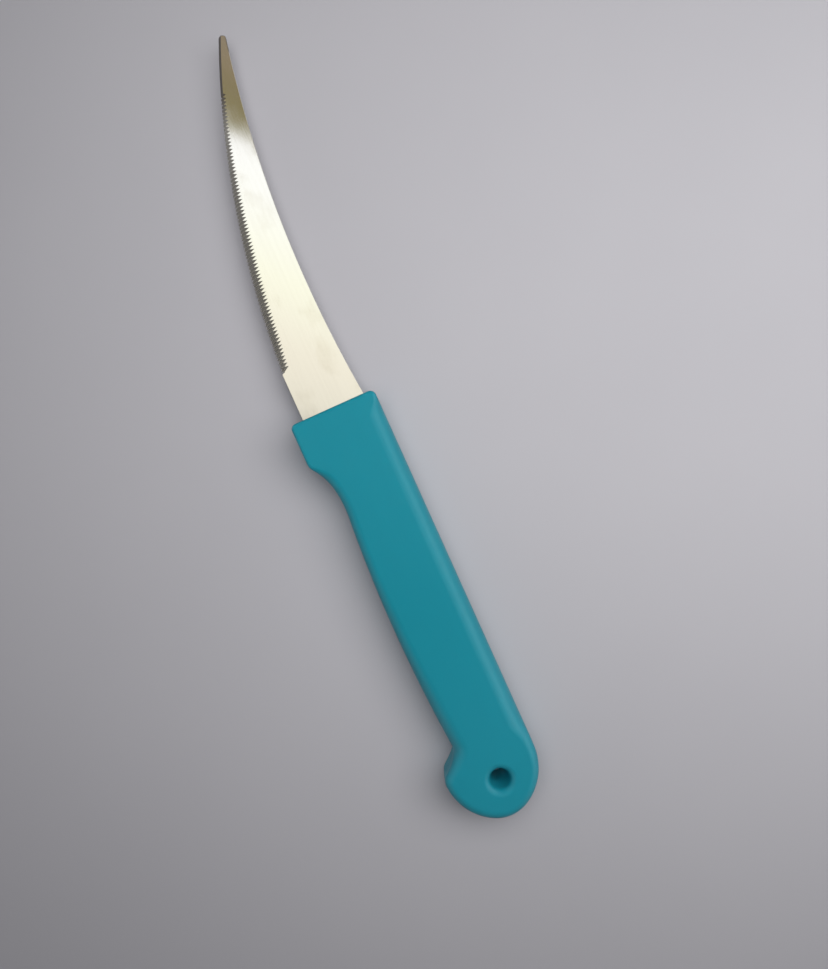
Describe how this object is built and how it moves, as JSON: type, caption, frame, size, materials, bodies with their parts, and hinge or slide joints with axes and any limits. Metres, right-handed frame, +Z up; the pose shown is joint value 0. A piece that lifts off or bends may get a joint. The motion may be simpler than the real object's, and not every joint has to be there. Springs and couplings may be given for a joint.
{
  "type": "paring knife",
  "caption": "Small kitchen knife with an upswept, finely toothed steel blade fixed in a flat-sided moulded plastic handle with a finger guard and a hanging hole.",
  "frame": {"origin": "bottom centre of the knife's box, with the knife lying on the flat side of its handle", "axes": "+X along the handle from butt to tip, +Y towards the cutting edge, +Z up, square to the blade's flat"},
  "size_m": [0.2084, 0.0266, 0.012],
  "materials": {
    "blade_steel": "bright rolled stainless steel with a faint lengthwise grain and a ground, toothed edge",
    "handle_plastic": "satin moulded polypropylene, teal"
  },
  "bodies": {
    "root": {"blade": "blade_steel", "handle": "handle_plastic"}
  },
  "joints": []
}
